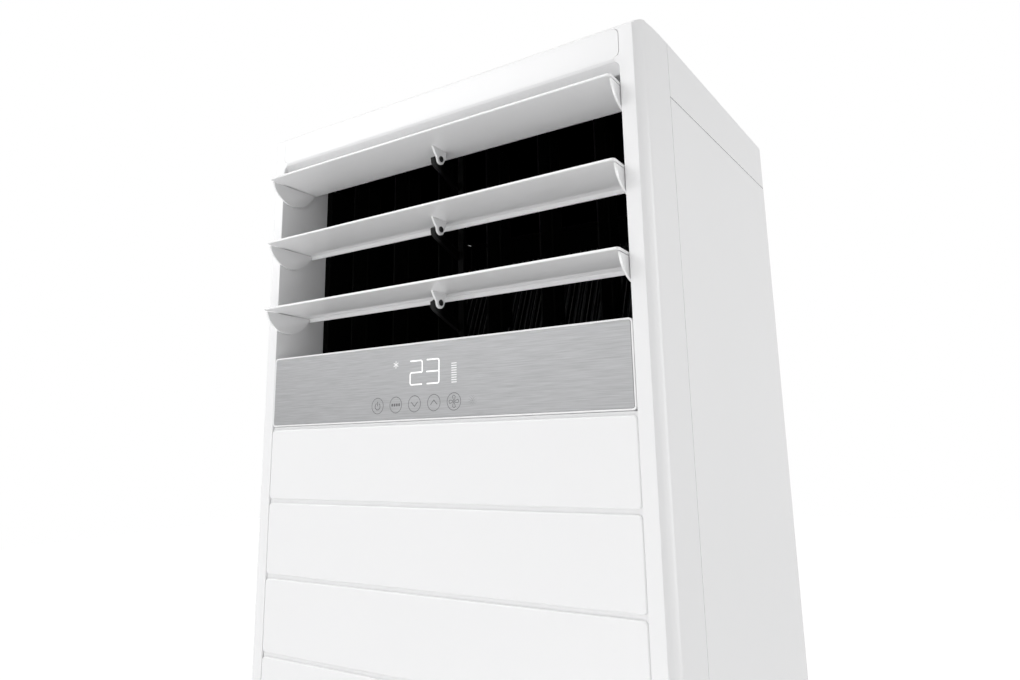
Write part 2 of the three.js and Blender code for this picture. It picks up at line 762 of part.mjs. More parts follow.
piece("outlet_throat", throat(), black);
for (let i = 0; i < vaneCount; i++) {
  piece("vane_" + (i + 1), vane(), black).position.set(vaneX(i), vanePivotY, 0);
}
piece("vane_tie_bar", vaneTieBar(), black);
piece("vane_motor", swingMotor("z", throatBottom - throatWall - gap, sillZ - 22,
  vaneX(0), vanePivotY, vanePinRadius), darkGrey);

// ---- coil, drain pan and shelf ----
// The coil stands in the drain pan, leaning back. Its own group has Y across the fins and Z up the tubes.
const lean = THREE.MathUtils.degToRad(coilLean);
const endPlateLip = 2;
const panFloor = shelfZ + sheet + gap + panWall;
const coilLowest = (coilThickness / 2 + endPlateLip) * Math.sin(lean) + endPlateLip * Math.cos(lean);
const coil = new THREE.Group();
coil.position.set(0, coilFootY, panFloor + gap + coilLowest);
coil.rotation.x = -lean;
cabinet.add(coil);

// A row of upright fins on the spine that stands for the tubes.
function finPack() {
  const face = coilThickness / 2;
  const finCount = Math.floor((2 * coilHalf - finThickness) / finPitch) + 1;
  const firstFin = (-(finCount - 1) * finPitch) / 2;
  const edge = (side) => {
    const points = [];
    for (let i = 0; i < finCount; i++) {
      const x = firstFin + i * finPitch;
      const [near, far] = [x - finThickness / 2, x + finThickness / 2];
      const root = (side * finSpine) / 2;
      points.push([near, root], [near, side * face], [far, side * face], [far, root]);
    }
    return points;
  };
  const comb = [[-coilHalf, -finSpine / 2], ...edge(-1), [coilHalf, -finSpine / 2],
    [coilHalf, finSpine / 2], ...edge(1).reverse(), [-coilHalf, finSpine / 2]];
  return prism(polygon(comb), "xy", 0, coilLength);
}

function endPlate(side) {
  const near = coilHalf + gap;
  const reach = coilThickness / 2 + endPlateLip;
  let body = block(...span(side, near, near + endPlateThickness), -reach, reach,
    -endPlateLip, coilLength + endPlateLip);
  const face = side * (coilHalf + gap + endPlateThickness / 2);
  for (let i = 0; i < bendCount; i++) {
    const z = (coilLength * (i + 0.5)) / bendCount;
    const y = i % 2 === 0 ? -coilThickness / 4 : coilThickness / 4;
    const route = [];
    for (let k = 0; k <= bendSteps; k++) {
      const angle = (Math.PI * k) / bendSteps;
      route.push(new THREE.Vector3(face + side * bendReach * Math.sin(angle), y,
        z - bendRadius * Math.cos(angle)));
    }
    body = join(body, tube(route, tubeRadius, 3));
  }
  return body;
}

function coilGuard() {
  const back = -coilThickness / 2 - guardClearance;
  const parts = [];
  const count = Math.floor((2 * coilHalf - 20) / guardRibPitch);
  for (let i = 0; i <= count; i++) {
    const x = (i - count / 2) * guardRibPitch;
    parts.push(block(x - guardRib / 2, x + guardRib / 2, back - guardRib, back, 30, coilLength - 30));
  }
  for (const z of [30, coilLength - 30]) {
    parts.push(block(-coilHalf, coilHalf, back - guardRib - 1, back + 1, z - 3, z + 3));
    for (const side of [-1, 1]) {
      parts.push(block(...span(side, coilHalf - 6, coilHalf), back, -coilThickness / 2 - gap, z - 2, z + 2));
    }
  }
  return join(...parts);
}

function drainPan() {
  const front = coilFootY - 42;
  const back = coilFootY + 50;
  const side = coilHalf + 22;
  const low = shelfZ + sheet + gap;
  const tray = cut(block(-side, side, front, back, low, low + panDepth),
    block(-side + panWall, side - panWall, front + panWall, back - panWall,
      low + panWall, low + panDepth + 1));
  const stub = rod("z", drainStubRadius, shelfZ - drainStub, low + panWall / 2, drainX, coilFootY, 16);
  return cut(join(tray, stub), rod("z", drainStubRadius - 2.5, shelfZ - drainStub - 1,
    low + panWall + 1, drainX, coilFootY, 16));
}

function dividerShelf() {
  const plate = join(
    block(-innerHalf, innerHalf, coverFront + sheet + gap, rearInside - 4, shelfZ, shelfZ + sheet),
    block(-half + sideFlange + gap, half - sideFlange - gap, innerPlateY + sheet + gap, coverFront + 4,
      shelfZ, shelfZ + sheet),
  );
  const y0 = wheelFrontY - scrollClear;
  const air = block(ductLeft, ductRight, y0, y0 + scrollDepth, shelfZ - 1, shelfZ + 2);
  return cut(plate, air,
    rod("z", drainStubRadius + gap, shelfZ - 1, shelfZ + 2, drainX, coilFootY, 16),
    rod("z", gasPipeRadius + gap, shelfZ - 1, shelfZ + 2, pipeX, gasPipeY, 16),
    rod("z", liquidPipeRadius + gap, shelfZ - 1, shelfZ + 2, pipeX, liquidPipeY, 16));
}

// ---- blower ----
const scrollDepth = wheelWidth + 2 * scrollClear;
const scrollRadius = (angle) => scrollStart + (scrollGrowth * (angle - 60)) / 300;
const ductRight = scrollRadius(360);
const ductLeft = scrollRadius(60) * Math.cos(Math.PI / 3);

// The spiral, from its tongue at 60 degrees round to 360, then straight up to the shelf.
function scrollOutline(offset, top) {
  const points = [];
  for (let angle = 60; angle <= 360; angle += 15) {
    const radius = scrollRadius(angle) + offset;
    const turn = THREE.MathUtils.degToRad(angle);
    points.push([radius * Math.cos(turn), blowerZ + radius * Math.sin(turn)]);
  }
  points[0][0] = ductLeft - offset;
  points.push([ductRight + offset, top], [ductLeft - offset, top]);
  return polygon(points);
}

function blowerScroll() {
  const front = wheelFrontY - scrollClear;
  const back = front + scrollDepth;
  const top = shelfZ - gap;
  const shell = cut(prism(scrollOutline(scrollWall, top), "xz", front - scrollWall, back + scrollWall),
    prism(scrollOutline(0, top + 1), "xz", front, back));
  return cut(shell,
    rod("y", mouthRadius + gap, front - 5, front + 1, 0, blowerZ, 36),
    rod("y", motorRadius + gap, back - 1, back + 5, 0, blowerZ, 32));
}

function ring(outer, inner, from, to, sides = 28) {
  return cut(rod("y", outer, from, to, 0, blowerZ, sides),
    rod("y", inner, from - 1, to + 1, 0, blowerZ, sides));
}

function bellMouth() {
  const face = wheelFrontY - scrollClear - scrollWall;
  const rim = mouthRadius + mouthFlange;
  const mouthDepth = scrollClear + 8;
  const profile = [
    [rim, 0], [rim, -mouthWall], [mouthRadius + 1, -mouthWall], [mouthRadius - 2, 0], [mouthRadius - 2.5, 4],
    [mouthRadius - 7.8, 12], [mouthRadius - 9, mouthDepth], [mouthRadius - 7.4, mouthDepth],
    [mouthRadius - 6, 12], [mouthRadius - 0.6, 4], [mouthRadius - 0.2, 0], [rim, 0],
  ].map(([radius, along]) => new THREE.Vector2(radius, along)).reverse();
  const turned = new THREE.LatheGeometry(profile, 28);
  return solid(turned.translate(0, face - gap, blowerZ));
}

function blowerWheel() {
  const back = wheelFrontY + wheelWidth;
  const inner = wheelRadius - wheelBladeChord;
  const plateY = motorFrontY - 14;
  let body = join(
    ring(wheelRadius, inner, wheelFrontY, wheelFrontY + 3),
    ring(wheelRadius, inner, back - 3, back),
    ring(wheelRadius - 2, shaftRadius + pinClearance, plateY - 2, plateY),
    ring(hubRadius, shaftRadius + pinClearance, plateY - 18, plateY - 1, 20),
  );
  for (let i = 0; i < bladeCount; i++) {
    const blade = new THREE.BoxGeometry(wheelBladeChord - 3, wheelWidth - 2, 1.4);
    blade.rotateY(0.6).translate(wheelRadius - wheelBladeChord / 2, 0, 0);
    blade.rotateY((2 * Math.PI * i) / bladeCount);
    blade.translate(0, wheelFrontY + wheelWidth / 2, blowerZ);
    body = join(body, solid(blade));
  }
  return body;
}

function fanMotor() {
  const flangeY = wheelFrontY + wheelWidth + scrollClear + scrollWall + 2 * gap + 2;
  return join(
    rod("y", motorRadius, motorFrontY, motorFrontY + motorLength, 0, blowerZ, 32),
    rod("y", motorRadius + 18, flangeY, flangeY + 3, 0, blowerZ, 32),
    rod("y", shaftRadius, motorFrontY - 34, motorFrontY + 1, 0, blowerZ, 16),
  );
}

function motorBracket() {
  const face = wheelFrontY + wheelWidth + scrollClear + scrollWall + gap;
  return ring(motorRadius + 32, motorRadius + gap, face, face + 2, 32);
}

// A folded steel trestle: two legs on a foot plate, with two saddles that follow the scroll.
function blowerStand() {
  const front = wheelFrontY;
  const back = wheelFrontY + wheelWidth;
  const foot = wall + gap;
  const legTop = blowerZ - standDrop;
  const frame = cut(block(-standHalf, standHalf, front, back, foot, legTop),
    block(-standHalf + standSheet, standHalf - standSheet, front - 1, back + 1,
      foot + standSheet, legTop + 1));
  const saddle = (y) => block(-standHalf + 1, standHalf - 1, y, y + standSheet,
    blowerZ - scrollRadius(270) - saddleDepth, legTop);
  return cut(join(frame, saddle(front + saddleDepth), saddle(back - saddleDepth - standSheet)),
    prism(scrollOutline(scrollWall + gap, shelfZ), "xz", front - 20, back + 20));
}

// ---- pipes ----
const gasPipeY = 196;
const liquidPipeY = 220;
const headerZ = shelfZ + 77;
const drainX = -coilHalf - 4;

function linePipe(y, radius, z) {
  const nutY = rearInside - 52;
  const start = coilHalf + 2 * gap + endPlateThickness;
  const line = pipe([[start, y, headerZ], [pipeX, y, headerZ], [pipeX, y, z], [pipeX, nutY, z]], radius, 20);
  const nut = rod("y", radius * 1.7, nutY - 14, nutY, pipeX, z, 6);
  return join(line, nut);
}

function drainHose() {
  return pipe([[drainX, coilFootY, shelfZ - drainStub - gap], [drainX, coilFootY, 110],
    [drainX, rearInside - 30, 96]], 8, 40);
}

piece("evaporator_fins", finPack(), finAluminium, coil);
piece("coil_end_left", endPlate(-1), copper, coil);
piece("coil_end_right", endPlate(1), copper, coil);
piece("coil_guard", coilGuard(), black, coil);
piece("drain_pan", drainPan(), greyPlastic);
piece("divider_shelf", dividerShelf(), galvanised);
piece("blower_scroll", blowerScroll(), greyPlastic);
piece("bell_mouth", bellMouth(), greyPlastic);
const motorFrontY = wheelFrontY + wheelWidth - 62;
piece("blower_wheel", blowerWheel(), darkGrey);
piece("fan_motor", fanMotor(), darkGrey);
piece("motor_bracket", motorBracket(), galvanised);
piece("blower_stand", blowerStand(), galvanised);
piece("gas_pipe", linePipe(gasPipeY, gasPipeRadius, valveZ), copper);
piece("liquid_pipe", linePipe(liquidPipeY, liquidPipeRadius, valveZ + 40), copper);
piece("drain_hose", drainHose(), greyPlastic);

// ---- filters ----
const filterSide = openingHalf - gap - filterRailWall - gap; // outer edge of a filter
const filterBottom = plinthTop + 18.8;
const filterTop = grilleTop - 43.2;

// A tray behind the grille. A filter stands in the foot lip and under the head lip: lifted clear of the
// foot lip, it swings out at the bottom.
function filterFrame() {
  const outer = openingHalf - gap;
  const back = filterY + filterThickness + gap;
  const low = filterBottom - gap - filterRailWall;
  const high = topRailZ - gap;
  const plate = cut(block(-outer, outer, back, back + filterRailWall, low, high),
    block(-outer + 14, -7, back - 1, back + 5, low + 14, high - 40),
    block(7, outer - 14, back - 1, back + 5, low + 14, high - 40));
  const front = filterY - gap - filterRailWall;
  const lip = (from, to) => block(-outer, outer, front, front + filterRailWall, from, to);
  const parts = [plate, block(-outer, outer, front, back + 1, low, low + filterRailWall),
    lip(low, filterBottom + filterFootLip), lip(filterTop - filterHeadLip, high),
    block(-1, 1, front, back + 1, low, high)];
  for (const side of [-1, 1]) {
    parts.push(block(...span(side, outer - filterRailWall, outer), front, back + 1, low, high));
  }
  return join(...parts);
}

function filter(side) {
  const inner = 1 + gap;
  const middle = (inner + filterSide) / 2;
  const back = filterY + filterThickness;
  const rim = cut(block(...span(side, inner, filterSide), filterY, back, filterBottom, filterTop),
    block(...span(side, inner + filterRim, filterSide - filterRim), filterY - 1, back + 1,
      filterBottom + filterRim, filterTop - filterRim));
  const netY = filterY + filterThickness / 2;
  const net = block(...span(side, inner + 2, filterSide - 2), netY - 0.5, netY + 0.5,
    filterBottom + 2, filterTop - 2);
  const rib = (from, to, low, high) => block(...span(side, from, to), filterY + 1, back - 1, low, high);
  const ribs = [rib(middle - 2, middle + 2, filterBottom + 2, filterTop - 2)];
  for (let i = 1; i < filterFields; i++) {
    const z = filterBottom + ((filterTop - filterBottom) * i) / filterFields;
    ribs.push(rib(inner + 2, filterSide - 2, z - 2, z + 2));
  }
  const gripZ = filterBottom + filterFootLip + 24;
  const grip = block(...span(side, middle - 20, middle + 20), filterY - 8, filterY + 1, gripZ, gripZ + 3);
  const gripRoot = rib(middle - 20, middle + 20, gripZ - 2, gripZ + 5);
  return join(rim, net, grip, gripRoot, ...ribs);
}

// ---- electrics ----
const controlBoxRight = controlBoxLeft + controlBoxWidth;
const controlBoxBottom = shelfZ + 72;
const controlBoxTop = controlBoxBottom + controlBoxHeight;

function innerPlate() {
  const reach = openingHalf + wall + 6;
  const low = shelfZ - sheet - gap;
  return join(
    block(-reach, reach, innerPlateY, innerPlateY + sheet, low, sillZ - wall - gap),
    block(-reach, reach, innerPlateY, innerPlateY + 12, low, low + sheet),
  );
}

function controlBox() {
  const back = innerPlateY - gap;
  const shell = block(controlBoxLeft, controlBoxRight, controlBoxFront, back,
    controlBoxBottom, controlBoxTop);
  const room = block(controlBoxLeft + sheet, controlBoxRight - sheet, controlBoxFront - 1, back - sheet,
    controlBoxBottom + sheet, controlBoxTop - sheet);
  const wireHole = block(controlBoxRight - 5, controlBoxRight + 5, back - 22, back - 8,
    controlBoxBottom + 30, controlBoxBottom + 60);
  return cut(shell, room, wireHole);
}

function controlBoxLid() {
  const front = controlBoxFront - gap - sheet;
  return block(controlBoxLeft - 1, controlBoxRight + 1, front, front + sheet,
    controlBoxBottom - 1, controlBoxTop + 1);
}

function mainBoard() {
  const back = innerPlateY - gap - sheet - gap;
  const board = block(controlBoxLeft + 12, controlBoxRight - 12, back - 9, back - 7.4,
    controlBoxBottom + 12, controlBoxTop - 12);
  const part = (x, z, w, h, tall) => block(x, x + w, back - 9 - tall, back - 8, z, z + h);
  const posts = [];
  for (const x of [controlBoxLeft + 20, controlBoxRight - 20]) {
    for (const z of [controlBoxBottom + 20, controlBoxTop - 20]) {
      posts.push(rod("y", 3, back - 8, back, x, z, 8));
    }
  }
  return join(board, ...posts,
    part(controlBoxLeft + 30, controlBoxBottom + 40, 46, 40, 20),
    part(controlBoxLeft + 30, controlBoxBottom + 110, 60, 22, 14),
    part(controlBoxLeft + 120, controlBoxBottom + 60, 34, 34, 4),
    part(controlBoxLeft + 180, controlBoxBottom + 40, 20, 90, 12));
}

function terminalBlock() {
  const back = innerPlateY - gap;
  const low = controlBoxBottom + terminalAboveBox;
  const pitch = 17;
  const poles = 5;
  const body = block(terminalLeft, terminalLeft + poles * pitch + 5, back - 16, back, low, low + 32);
  const slots = [];
  for (let i = 0; i < poles; i++) {
    const x = terminalLeft + 5 + i * pitch;
    slots.push(block(x, x + 12, back - 17, back - 8, low + 6, low + 26));
  }
  return cut(body, ...slots);
}

function cableGland() {
  const body = join(
    rod("y", glandRadius, depth - 14, depth + 8, glandX, glandZ, 16),
    rod("y", glandRadius + 4, depth + gap, depth + 5, glandX, glandZ, 6),
  );
  return cut(body, rod("y", 4.5, depth - 20, depth + 12, glandX, glandZ, 12));
}

// The bent steel bracket that ties the top of the cabinet to the wall.
function wallBracket() {
  const face = depth + gap;
  const wallSide = face + bracketStandOff;
  const z = sidePanelTop - 40;
  const side = bracketWidth / 2;
  const plate = join(
    block(-side, side, face, face + bracketPlateThickness, z - 40, z),
    block(-side, side, face, wallSide, z - bracketPlateThickness, z),
    block(-side, side, wallSide - bracketPlateThickness, wallSide, z - bracketPlateThickness, z + 38),
  );
  const holes = [-1, 1].flatMap((k) => [
    rod("y", 2.6, face - 1, face + 5, k * side * 0.6, z - 20, 12),
    rod("y", 4, wallSide - 5, wallSide + 1, k * side * 0.6, z + 22, 12),
  ]);
  return cut(plate, ...holes);
}

function catchMagnet(x) {
  const y = grilleRim + gap + wall + gap;
  return block(x - 12, x + 12, y, y + 10, frontPanelBottom - 14, frontPanelBottom + 8);
}

const topRailZ = grilleTop - grilleRim;
piece("filter_frame", filterFrame(), greyPlastic);
piece("filter_left", filter(-1), darkGrey);
piece("filter_right", filter(1), darkGrey);
piece("inner_plate", innerPlate(), galvanised);
piece("control_box", controlBox(), galvanised);
piece("control_box_lid", controlBoxLid(), galvanised);
piece("main_board", mainBoard(), boardGreen);
piece("terminal_block", terminalBlock(), black);
piece("cable_gland", cableGland(), black);
piece("wall_bracket", wallBracket(), galvanised);
piece("catch_magnet_left", catchMagnet(-magnetX), black);
piece("catch_magnet_right", catchMagnet(magnetX), black);

// The origin lies under the middle of the whole: from the louver tips to the wall bracket.
const louverTipY = louverPivotY - bladeReachFront;
const bracketBackY = depth + gap + bracketStandOff;
cabinet.position.y = -(louverTipY + bracketBackY) / 2;
const airConditioner = new THREE.Group();
airConditioner.add(cabinet);

export default airConditioner;
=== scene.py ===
import json
import math

import bmesh
import bpy
from mathutils import Matrix, Vector

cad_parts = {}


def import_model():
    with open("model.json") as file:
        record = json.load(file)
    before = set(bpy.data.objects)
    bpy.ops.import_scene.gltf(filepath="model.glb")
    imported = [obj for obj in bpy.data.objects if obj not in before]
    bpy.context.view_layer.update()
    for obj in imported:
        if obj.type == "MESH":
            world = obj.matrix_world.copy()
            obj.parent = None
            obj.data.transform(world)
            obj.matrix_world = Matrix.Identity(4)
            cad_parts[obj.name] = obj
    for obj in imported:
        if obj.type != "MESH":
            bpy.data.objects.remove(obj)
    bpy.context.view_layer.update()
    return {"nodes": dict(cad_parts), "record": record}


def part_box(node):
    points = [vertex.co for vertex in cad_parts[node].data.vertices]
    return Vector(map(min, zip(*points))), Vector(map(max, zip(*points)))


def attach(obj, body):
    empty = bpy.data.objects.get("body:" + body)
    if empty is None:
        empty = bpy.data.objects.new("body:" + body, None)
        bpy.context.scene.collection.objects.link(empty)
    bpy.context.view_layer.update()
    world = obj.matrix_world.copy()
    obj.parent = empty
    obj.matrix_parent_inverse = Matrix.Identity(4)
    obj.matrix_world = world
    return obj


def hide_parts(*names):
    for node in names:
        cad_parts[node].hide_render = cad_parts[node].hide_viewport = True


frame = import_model()
nodes = frame["nodes"]
body_of = {n: b for b, members in frame["record"]["behaviour"]["bodies"].items() for n in members}
MM = 0.001
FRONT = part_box("front_frame")[0].y  # the front face of the casing
HALF = 295.0  # half width of the casing
INSERT = 271.0  # half width of what sits in the front opening
PANEL_BOTTOM, PANEL_TOP = 1411.4, 1504.2
BAND_PITCH, BAND_TALL = 94.7, 89.7
BAND_TOP = PANEL_BOTTOM - 4.4


def at(x, y, z):
    """A place in metres from millimetres, Y counted back from the front face."""
    return Vector((x * MM, FRONT + y * MM, z * MM))


# ---------------------------------------------------------------- camera, stage and light
PHOTO_WIDE, PHOTO_TALL = 1020, 680
FOCAL = 727.12  # in pixels, like the place where the view axis meets the picture
AXIS_X, AXIS_Y = 543.65, 288.55
SENSOR = 36


def camera():
    data = bpy.data.cameras.new("camera")
    data.sensor_width = SENSOR
    data.lens = FOCAL * SENSOR / PHOTO_WIDE
    data.shift_x = (PHOTO_WIDE / 2 - AXIS_X) / PHOTO_WIDE
    data.shift_y = (AXIS_Y - PHOTO_TALL / 2) / PHOTO_WIDE
    data.clip_start, data.clip_end = 0.02, 60
    obj = bpy.data.objects.new("camera", data)
    right = Vector((0.8499, 0.5262, -0.0269)).normalized()
    ahead = Vector((-0.511, 0.8358, 0.2009)).normalized()
    up = right.cross(ahead).normalized()
    right = ahead.cross(up)
    turn = Matrix((right, up, -ahead)).transposed()
    obj.matrix_world = Matrix.Translation((0.573, -0.89795, 1.3874)) @ turn.to_4x4()
    bpy.context.scene.collection.objects.link(obj)
    bpy.context.scene.camera = obj


def area(name, place, aim, size, power):
    data = bpy.data.lights.new(name, "AREA")
    data.shape = "RECTANGLE"
    data.size, data.size_y = size
    data.energy = power
    obj = bpy.data.objects.new(name, data)
    obj.location = place
    obj.rotation_euler = (Vector(aim) - Vector(place)).to_track_quat("-Z", "Y").to_euler()
    bpy.context.scene.collection.objects.link(obj)


def stage():
    mesh = bpy.data.meshes.new("floor")
    reach = 12
    mesh.from_pydata([(-reach, -reach, 0), (reach, -reach, 0), (reach, reach, 0), (-reach, reach, 0)],
                     [], [(0, 1, 2, 3)])
    floor = bpy.data.objects.new("floor", mesh)
    bpy.context.scene.collection.objects.link(floor)
    mesh.materials.append(floor_paint())


def floor_paint():
    """Pale floor that the camera sees as white, apart from the shade close to the object."""
    mat, tree, shader = new_material("floor_paint")
    tree.links.new(tinted(tree, noise(tree, 2, 3), (0.86, 0.86, 0.86), 0.01), shader.inputs["Base Color"])
    shader.inputs["Roughness"].default_value = 0.9
    ray = tree.nodes.new("ShaderNodeLightPath")
    tree.links.new(spread(tree, ray.outputs["Is Camera Ray"], 0.0, 0.6), shader.inputs["Emission Strength"])
    shader.inputs["Emission Color"].default_value = (1, 1, 1, 1)
    return mat


def world():
    """Soft grey light all round; what the camera sees behind the object is plain white."""
    scene = bpy.context.scene
    scene.view_settings.view_transform = "Standard"
    shade = bpy.data.worlds.new("studio")
    shade.use_nodes = True
    scene.world = shade
    tree = shade.node_tree
    tree.nodes.clear()
    out = tree.nodes.new("ShaderNodeOutputWorld")
    soft = tree.nodes.new("ShaderNodeBackground")
    soft.inputs["Color"].default_value = (1, 1, 1, 1)
    soft.inputs["Strength"].default_value = 0.5
    white = tree.nodes.new("ShaderNodeBackground")
    white.inputs["Color"].default_value = (1, 1, 1, 1)
    white.inputs["Strength"].default_value = 1.0
    ray = tree.nodes.new("ShaderNodeLightPath")
    mix = tree.nodes.new("ShaderNodeMixShader")
    tree.links.new(ray.outputs["Is Camera Ray"], mix.inputs[0])
    tree.links.new(soft.outputs[0], mix.inputs[1])
    tree.links.new(white.outputs[0], mix.inputs[2])
    tree.links.new(mix.outputs[0], out.inputs[0])


# ---------------------------------------------------------------- materials
def new_material(name):
    mat = bpy.data.materials.new(name)
    mat.use_nodes = True
    tree = mat.node_tree
    return mat, tree, tree.nodes["Principled BSDF"]


def coordinates(tree, scale=(1, 1, 1)):
    place = tree.nodes.new("ShaderNodeTexCoord")
    mapping = tree.nodes.new("ShaderNodeMapping")
    mapping.inputs["Scale"].default_value = scale
    tree.links.new(place.outputs["Object"], mapping.inputs[0])
    return mapping.outputs[0]


def noise(tree, scale, detail=3, stretch=(1, 1, 1)):
    node = tree.nodes.new("ShaderNodeTexNoise")
    node.inputs["Scale"].default_value = scale
    node.inputs["Detail"].default_value = detail
    tree.links.new(coordinates(tree, stretch), node.inputs["Vector"])
    return node.outputs["Fac"]


def spread(tree, fac, low, high):
    """Maps a 0..1 value onto low..high."""
    node = tree.nodes.new("ShaderNodeMapRange")
    node.inputs["To Min"].default_value = low
    node.inputs["To Max"].default_value = high
    tree.links.new(fac, node.inputs["Value"])
    return node.outputs[0]


def tinted(tree, fac, colour, amount):
    """The colour, made lighter and darker by the fac value."""
    node = tree.nodes.new("ShaderNodeMix")
    node.data_type = "RGBA"
    dark = [c * (1 - amount) for c in colour]
    light = [min(1, c * (1 + amount)) for c in colour]
    node.inputs["A"].default_value = (*dark, 1)
    node.inputs["B"].default_value = (*light, 1)
    tree.links.new(fac, node.inputs["Factor"])
    return node.outputs["Result"]


def bumped(tree, shader, height, strength, distance):
    node = tree.nodes.new("ShaderNodeBump")
    node.inputs["Strength"].default_value = strength
    node.inputs["Distance"].default_value = distance
    tree.links.new(height, node.inputs["Height"])
    tree.links.new(node.outputs[0], shader.inputs["Normal"])


def plastic(name, colour, rough=0.35, grain=1400.0, bump=0.12, tint=0.02, metal=0.0, spread_rough=0.05,
            shine=0.5):
    """Moulded plastic or paint: slight colour drift, a fine skin texture and uneven gloss."""
    mat, tree, shader = new_material(name)
    tree.links.new(tinted(tree, noise(tree, 9, 4), colour, tint), shader.inputs["Base Color"])
    tree.links.new(spread(tree, noise(tree, 60, 4), rough - spread_rough, rough + spread_rough),
                   shader.inputs["Roughness"])
    shader.inputs["Metallic"].default_value = metal
    shader.inputs["Specular IOR Level"].default_value = shine
    if bump:
        bumped(tree, shader, noise(tree, grain, 2), bump, 0.00012)
    return mat


def brushed_metal():
    """Level grain: short thin streaks in X over an even silver, with slow light and dark drift."""
    mat, tree, shader = new_material("brushed_aluminium")
    streaks = noise(tree, 1, 2, (22, 4, 760))
    fine = noise(tree, 1, 3, (55, 4, 2400))
    both = tree.nodes.new("ShaderNodeMath")
    both.operation = "MULTIPLY_ADD"
    both.inputs[1].default_value = 0.6
    tree.links.new(streaks, both.inputs[0])
    tree.links.new(spread(tree, fine, 0.0, 0.4), both.inputs[2])
    tree.links.new(tinted(tree, both.outputs[0], (0.50, 0.503, 0.512), 0.42), shader.inputs["Base Color"])
    tree.links.new(spread(tree, both.outputs[0], 0.42, 0.62), shader.inputs["Roughness"])
    shader.inputs["Metallic"].default_value = 0.8
    bumped(tree, shader, both.outputs[0], 0.15, 0.00006)
    return mat


def glow(name, colour, strength):
    """A lit segment, a little uneven behind its diffuser."""
    mat, tree, shader = new_material(name)
    uneven = tinted(tree, noise(tree, 300, 2), colour, 0.04)
    shader.inputs["Base Color"].default_value = (0.3, 0.3, 0.3, 1)
    shader.inputs["Roughness"].default_value = 0.5
    shader.inputs["Emission Strength"].default_value = strength
    tree.links.new(uneven, shader.inputs["Emission Color"])
    return mat


def galvanised_steel():
    """Zinc spangle: flat cells of slightly different grey."""
    mat, tree, shader = new_material("galvanised_steel")
    cells = tree.nodes.new("ShaderNodeTexVoronoi")
    cells.inputs["Scale"].default_value = 90
    tree.links.new(coordinates(tree), cells.inputs["Vector"])
    tree.links.new(tinted(tree, cells.outputs["Color"], (0.55, 0.57, 0.59), 0.22),
                   shader.inputs["Base Color"])
    tree.links.new(spread(tree, cells.outputs["Color"], 0.32, 0.5), shader.inputs["Roughness"])
    shader.inputs["Metallic"].default_value = 0.85
    return mat


def ribbed(name, colour, axis, pitch, metal, rough):
    """Thin plates side by side, as the fins of a coil or the net of a filter."""
    mat, tree, shader = new_material(name)
    wave = tree.nodes.new("ShaderNodeTexWave")
    wave.bands_direction = axis
    wave.inputs["Scale"].default_value = 1 / pitch / 20 * 6.2832
    tree.links.new(coordinates(tree), wave.inputs["Vector"])
    tree.links.new(tinted(tree, wave.outputs["Fac"], colour, 0.45), shader.inputs["Base Color"])
    tree.links.new(spread(tree, noise(tree, 40, 3), rough - 0.06, rough + 0.06), shader.inputs["Roughness"])
    shader.inputs["Metallic"].default_value = metal
    bumped(tree, shader, wave.outputs["Fac"], 0.5, pitch * 0.3)
    return mat


def front_lit_black():
    """Black plastic painted grey at its front end as a painted highlight, where light catches the hooks, and
    near black behind as painted shade.
    """
    mat, tree, shader = new_material("black_arm")
    place = tree.nodes.new("ShaderNodeSeparateXYZ")
    tree.links.new(coordinates(tree), place.inputs[0])
    # painted highlight: the colour goes from grey at the front end to near black further back, standing in
    # for light and shade
    painted_light_ramp = tree.nodes.new("ShaderNodeMapRange")
    painted_light_ramp.inputs["From Min"].default_value = FRONT + 0.016
    painted_light_ramp.inputs["From Max"].default_value = FRONT + 0.034
    painted_light_ramp.inputs["To Min"].default_value = 1.0
    painted_light_ramp.inputs["To Max"].default_value = 0.0
    tree.links.new(place.outputs["Y"], painted_light_ramp.inputs["Value"])
    shade = tree.nodes.new("ShaderNodeMix")
    shade.data_type = "RGBA"
    shade.inputs["A"].default_value = (0.0013, 0.0013, 0.0013, 1)
    shade.inputs["B"].default_value = (0.03, 0.03, 0.03, 1)
    tree.links.new(painted_light_ramp.outputs[0], shade.inputs["Factor"])
    tree.links.new(shade.outputs["Result"], shader.inputs["Base Color"])
    tree.links.new(spread(tree, noise(tree, 60, 4), 0.35, 0.5), shader.inputs["Roughness"])
    shader.inputs["Specular IOR Level"].default_value = 0.03
    bumped(tree, shader, noise(tree, 900, 2), 0.15, 0.00012)
    return mat


def circuit_board():
    mat, tree, shader = new_material("circuit_board")
    cells = tree.nodes.new("ShaderNodeTexBrick")
    cells.inputs["Scale"].default_value = 60
    cells.inputs["Color1"].default_value = (0.01, 0.11, 0.04, 1)
    cells.inputs["Color2"].default_value = (0.012, 0.16, 0.06, 1)
    cells.inputs["Mortar"].default_value = (0.03, 0.30, 0.12, 1)
    cells.inputs["Mortar Size"].default_value = 0.03
    tree.links.new(coordinates(tree), cells.inputs["Vector"])
    tree.links.new(cells.outputs["Color"], shader.inputs["Base Color"])
    shader.inputs["Roughness"].default_value = 0.35
    return mat


